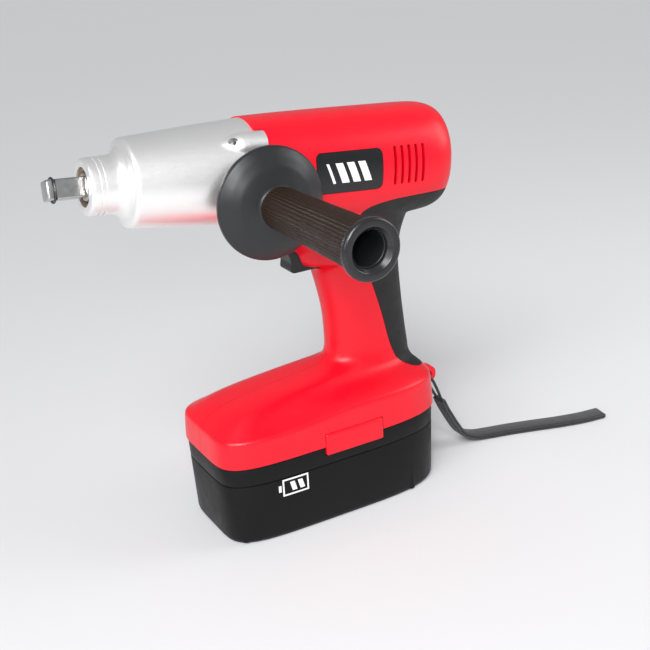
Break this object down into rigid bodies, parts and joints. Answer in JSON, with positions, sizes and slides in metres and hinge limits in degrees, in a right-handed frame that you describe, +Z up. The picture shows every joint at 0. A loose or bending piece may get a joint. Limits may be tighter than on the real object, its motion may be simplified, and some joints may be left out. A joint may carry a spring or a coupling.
{
  "type": "cordless impact wrench",
  "caption": "Cordless pistol-grip impact wrench with a square drive, a screw-in side handle, a slide-off battery pack and a wrist strap.",
  "frame": {"origin": "centre of the battery's underside, on the surface the tool stands on", "axes": "+X towards the square drive, +Y to the side with the side handle, +Z up; the drive line points up 5 degrees from +X"},
  "size_m": [0.4185, 0.2118, 0.2882],
  "materials": {
    "red_plastic": "glossy moulded red nylon",
    "black_plastic": "fine-grained moulded black nylon",
    "black_rubber": "soft black overmould",
    "sleeve_rubber": "ribbed brown-black rubber",
    "cast_aluminium": "satin cast aluminium",
    "steel": "machined steel",
    "dark_steel": "blackened steel",
    "bronze": "sintered bronze",
    "copper": "copper",
    "cell_wrap": "plastic-wrapped cells",
    "webbing": "woven polyester webbing",
    "name_plate": "printed glossy label"
  },
  "bodies": {
    "housing": {"housing_left": "red_plastic", "housing_right": "red_plastic", "rubber_back_strap": "black_rubber", "name_plate_left": "name_plate", "name_plate_right": "name_plate", "hammer_case": "cast_aluminium", "nose_bushing": "bronze", "ring_gear": "dark_steel", "carrier_bearing": "steel", "gearbox_plate": "cast_aluminium", "motor_can": "dark_steel", "motor_end_cap": "black_plastic", "brush_left": "dark_steel", "brush_right": "dark_steel", "switch_body": "black_plastic", "contact_block": "black_plastic", "trigger_spring": "steel", "release_spring_left": "steel", "release_spring_right": "steel", "strap_cord": "webbing", "wrist_strap": "webbing", "case_screw_1": "dark_steel", "case_screw_2": "dark_steel", "case_screw_3": "dark_steel", "case_screw_4": "dark_steel", "housing_screw_1": "dark_steel", "housing_screw_2": "dark_steel", "housing_screw_3": "dark_steel", "housing_screw_4": "dark_steel"},
    "anvil": {"anvil": "steel", "friction_ring": "dark_steel"},
    "spindle": {"spindle": "steel", "planet_pin_1": "steel", "planet_pin_2": "steel", "planet_pin_3": "steel", "hammer_spring": "steel"},
    "hammer": {"hammer": "dark_steel"},
    "planet_1": {"planet_gear_1": "steel"},
    "planet_2": {"planet_gear_2": "steel"},
    "planet_3": {"planet_gear_3": "steel"},
    "rotor": {"armature": "copper", "motor_pinion": "steel", "motor_fan": "black_plastic"},
    "trigger": {"trigger": "black_plastic"},
    "direction": {"direction_slider": "black_plastic"},
    "release_left": {"release_button_left": "red_plastic"},
    "release_right": {"release_button_right": "red_plastic"},
    "battery": {"battery_tray": "black_plastic", "battery_lid": "black_plastic", "cell_pack": "cell_wrap", "terminal_block": "black_plastic", "battery_screw_1": "dark_steel", "battery_screw_2": "dark_steel", "battery_screw_3": "dark_steel", "battery_screw_4": "dark_steel"},
    "handle_travel": {"side_handle_washer": "steel"},
    "handle": {"side_handle_core": "black_plastic", "side_handle_sleeve": "sleeve_rubber", "side_handle_end_ring": "black_plastic", "side_handle_stud": "steel"}
  },
  "joints": [
    {"name": "motor_spin", "type": "hinge", "parent": "housing", "child": "rotor", "pos_m": [0.146, 0, 0.262], "axis": [0.9962, 0, 0.0872], "continuous": true},
    {"name": "spindle_spin", "type": "hinge", "parent": "housing", "child": "spindle", "pos_m": [0.146, 0, 0.262], "axis": [0.9962, 0, 0.0872], "continuous": true},
    {"name": "anvil_spin", "type": "hinge", "parent": "housing", "child": "anvil", "pos_m": [0.146, 0, 0.262], "axis": [0.9962, 0, 0.0872], "continuous": true},
    {"name": "hammer_slide", "type": "slide", "parent": "spindle", "child": "hammer", "axis": [-0.9962, 0, -0.0872], "range_m": [0, 0.008], "stiffness_N_per_m": 3000, "springref_m": -0.004, "deforming": ["hammer_spring"]},
    {"name": "planet_1_spin", "type": "hinge", "parent": "spindle", "child": "planet_1", "pos_m": [0.0551, 0.015, 0.25405], "axis": [0.9962, 0, 0.0872], "continuous": true},
    {"name": "planet_2_spin", "type": "hinge", "parent": "spindle", "child": "planet_2", "pos_m": [0.05396, -0.0075, 0.26699], "axis": [0.9962, 0, 0.0872], "continuous": true},
    {"name": "planet_3_spin", "type": "hinge", "parent": "spindle", "child": "planet_3", "pos_m": [0.05623, -0.0075, 0.24111], "axis": [0.9962, 0, 0.0872], "continuous": true},
    {"name": "trigger_slide", "type": "slide", "parent": "housing", "child": "trigger", "axis": [-1, 0, 0], "range_m": [0, 0.007], "stiffness_N_per_m": 700, "springref_m": -0.002, "deforming": ["trigger_spring"]},
    {"name": "direction_slide", "type": "slide", "parent": "housing", "child": "direction", "axis": [0, 1, 0], "range_m": [-0.003, 0.003]},
    {"name": "release_left_press", "type": "slide", "parent": "housing", "child": "release_left", "axis": [0, -1, 0], "range_m": [0, 0.003], "stiffness_N_per_m": 900, "springref_m": -0.002, "deforming": ["release_spring_left"]},
    {"name": "release_right_press", "type": "slide", "parent": "housing", "child": "release_right", "axis": [0, 1, 0], "range_m": [0, 0.003], "stiffness_N_per_m": 900, "springref_m": -0.002, "deforming": ["release_spring_right"]},
    {"name": "battery_slide", "type": "slide", "parent": "housing", "child": "battery", "axis": [0, 0, -1], "range_m": [0, 0.06]},
    {"name": "handle_turn", "type": "hinge", "parent": "handle_travel", "child": "handle", "pos_m": [0.03847, 0, 0.23924], "axis": [0, 1, 0], "range_deg": [0, 1260]},
    {"name": "handle_travel_slide", "type": "slide", "parent": "housing", "child": "handle_travel", "axis": [0, 1, 0], "range_m": [0, 0.0061]}
  ],
  "couplings": [
    {"joint": "spindle_spin", "follows": "motor_spin", "ratio": 0.2},
    {"joint": "anvil_spin", "follows": "motor_spin", "ratio": 0.2},
    {"joint": "planet_1_spin", "follows": "motor_spin", "ratio": -0.53333},
    {"joint": "planet_2_spin", "follows": "motor_spin", "ratio": -0.53333},
    {"joint": "planet_3_spin", "follows": "motor_spin", "ratio": -0.53333},
    {"joint": "handle_turn", "follows": "handle_travel_slide", "rad_per_m": 3590.4}
  ]
}
